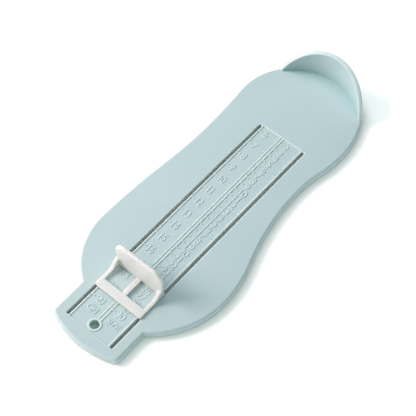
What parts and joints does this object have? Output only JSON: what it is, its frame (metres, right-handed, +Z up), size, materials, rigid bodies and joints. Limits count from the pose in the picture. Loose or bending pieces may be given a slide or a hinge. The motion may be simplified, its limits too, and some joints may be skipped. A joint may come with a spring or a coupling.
{
  "type": "foot measuring device",
  "caption": "Flat foot-shaped plate with a curved heel wall, a ruler panel and a toe slider that runs in two slots to read the length of a child's foot.",
  "frame": {"origin": "middle of the footprint, on the surface the plate stands on", "axes": "+Z up, +Y from the tab (toe end) to the heel wall, +X towards the arch side of the foot outline"},
  "size_m": [0.0866, 0.2248, 0.0255],
  "materials": {
    "plate": "satin moulded, pale blue",
    "slider": "satin moulded, warm white"
  },
  "bodies": {
    "plate": {"foot_plate": "plate"},
    "slider": {"toe_slider": "slider"}
  },
  "joints": [
    {"name": "slider_slide", "type": "slide", "parent": "plate", "child": "slider", "axis": [0, 1, 0], "range_m": [-0.0218, 0.1203]}
  ]
}
